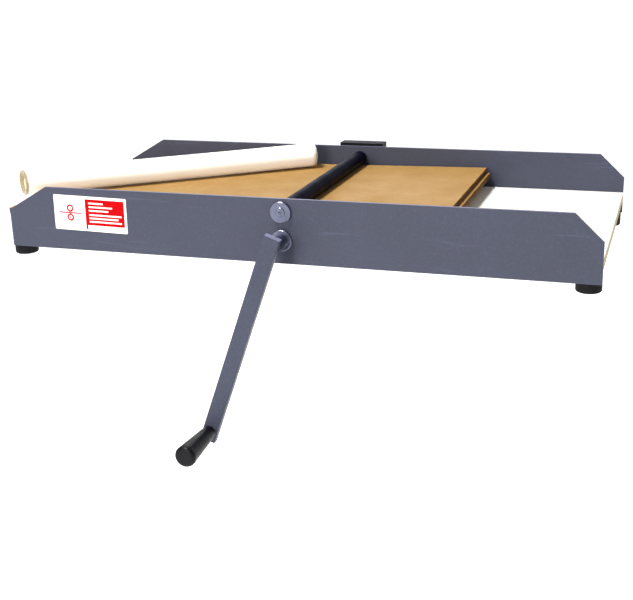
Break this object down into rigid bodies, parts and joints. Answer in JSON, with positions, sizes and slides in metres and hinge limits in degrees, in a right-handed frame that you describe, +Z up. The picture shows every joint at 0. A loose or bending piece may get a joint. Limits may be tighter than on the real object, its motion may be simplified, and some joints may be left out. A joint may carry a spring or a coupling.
{
  "type": "tabletop slab roller",
  "caption": "Hand-cranked tabletop slab roller: geared steel rollers between side plates press boards over infeed and outfeed tables, with a loose canvas roll.",
  "frame": {"origin": "centre of the plane under the four rubber feet, straight below the roller axes and midway between the side plates", "axes": "+X is the feed direction along the side plates, -Y is the crank side, +Z is up"},
  "size_m": [1.0007, 0.6268, 0.3998],
  "materials": {
    "grey_paint": "satin blue-grey machine enamel",
    "crank_paint": "satin blue-grey machine enamel",
    "white_laminate_board": "white laminate faces on particleboard",
    "hardboard": "tempered hardboard, smooth face",
    "black_roller": "semi-gloss black",
    "bright_steel": "turned bright steel",
    "gear_steel": "oiled cut steel",
    "zinc_steel": "zinc plated",
    "black_rubber": "matt moulded rubber",
    "black_grip": "smooth moulded rubber",
    "black_enamel": "semi-gloss black enamel",
    "printed_label": "printed vinyl",
    "white_canvas": "plain-weave cotton canvas"
  },
  "bodies": {
    "frame": {"front_side_plate": "grey_paint", "rear_side_plate": "grey_paint", "infeed_end_rail": "grey_paint", "infeed_nip_rail": "grey_paint", "outfeed_nip_rail": "grey_paint", "outfeed_end_rail": "grey_paint", "front_infeed_ledge": "grey_paint", "front_outfeed_ledge": "grey_paint", "rear_infeed_ledge": "grey_paint", "rear_outfeed_ledge": "grey_paint", "infeed_table": "white_laminate_board", "outfeed_table": "white_laminate_board", "table_screws": "zinc_steel", "rubber_feet": "black_rubber", "foot_washers": "zinc_steel", "foot_screws": "zinc_steel", "front_lower_bearing": "bright_steel", "front_upper_bearing": "bright_steel", "rear_lower_bearing": "bright_steel", "rear_upper_bearing": "bright_steel", "thrust_washers": "bright_steel", "label_plate": "printed_label", "gear_cover": "black_enamel", "gear_cover_screws": "zinc_steel"},
    "upper_roller": {"upper_roller_tube": "black_roller", "upper_roller_plugs": "bright_steel", "upper_shaft": "bright_steel", "upper_gear": "gear_steel", "upper_gear_set_screw": "zinc_steel"},
    "drive": {"lower_roller_tube": "black_roller", "lower_roller_plugs": "bright_steel", "lower_shaft": "bright_steel", "lower_gear": "gear_steel", "lower_gear_set_screw": "zinc_steel", "crank_hub": "bright_steel", "crank_arm": "crank_paint", "crank_end_caps": "crank_paint", "grip_spindle": "zinc_steel", "spindle_washers": "zinc_steel"},
    "grip": {"crank_grip": "black_grip"},
    "boards": {"upper_board": "hardboard", "lower_board": "hardboard"},
    "canvas": {"canvas_roll": "white_canvas"}
  },
  "joints": [
    {"name": "crank_turn", "type": "hinge", "parent": "frame", "child": "drive", "pos_m": [0, 0, 0.0542], "axis": [0, 1, 0], "range_deg": [-1000, 2150]},
    {"name": "upper_roller_turn", "type": "hinge", "parent": "frame", "child": "upper_roller", "pos_m": [0, 0, 0.0982], "axis": [0, 1, 0], "range_deg": [-2150, 1000]},
    {"name": "boards_feed", "type": "slide", "parent": "frame", "child": "boards", "axis": [0.9999, 0, 0.0157], "range_m": [-0.2219, 0.4768]},
    {"name": "grip_spin", "type": "hinge", "parent": "drive", "child": "grip", "pos_m": [-0.11047, -0.28, -0.24932], "axis": [0, 1, 0], "continuous": true},
    {"name": "canvas_lift", "type": "slide", "parent": "frame", "child": "canvas", "axis": [0, 0, 1], "range_m": [0, 0.25]}
  ],
  "couplings": [
    {"joint": "upper_roller_turn", "follows": "crank_turn", "ratio": -1},
    {"joint": "boards_feed", "follows": "crank_turn", "m_per_rad": 0.0127}
  ]
}
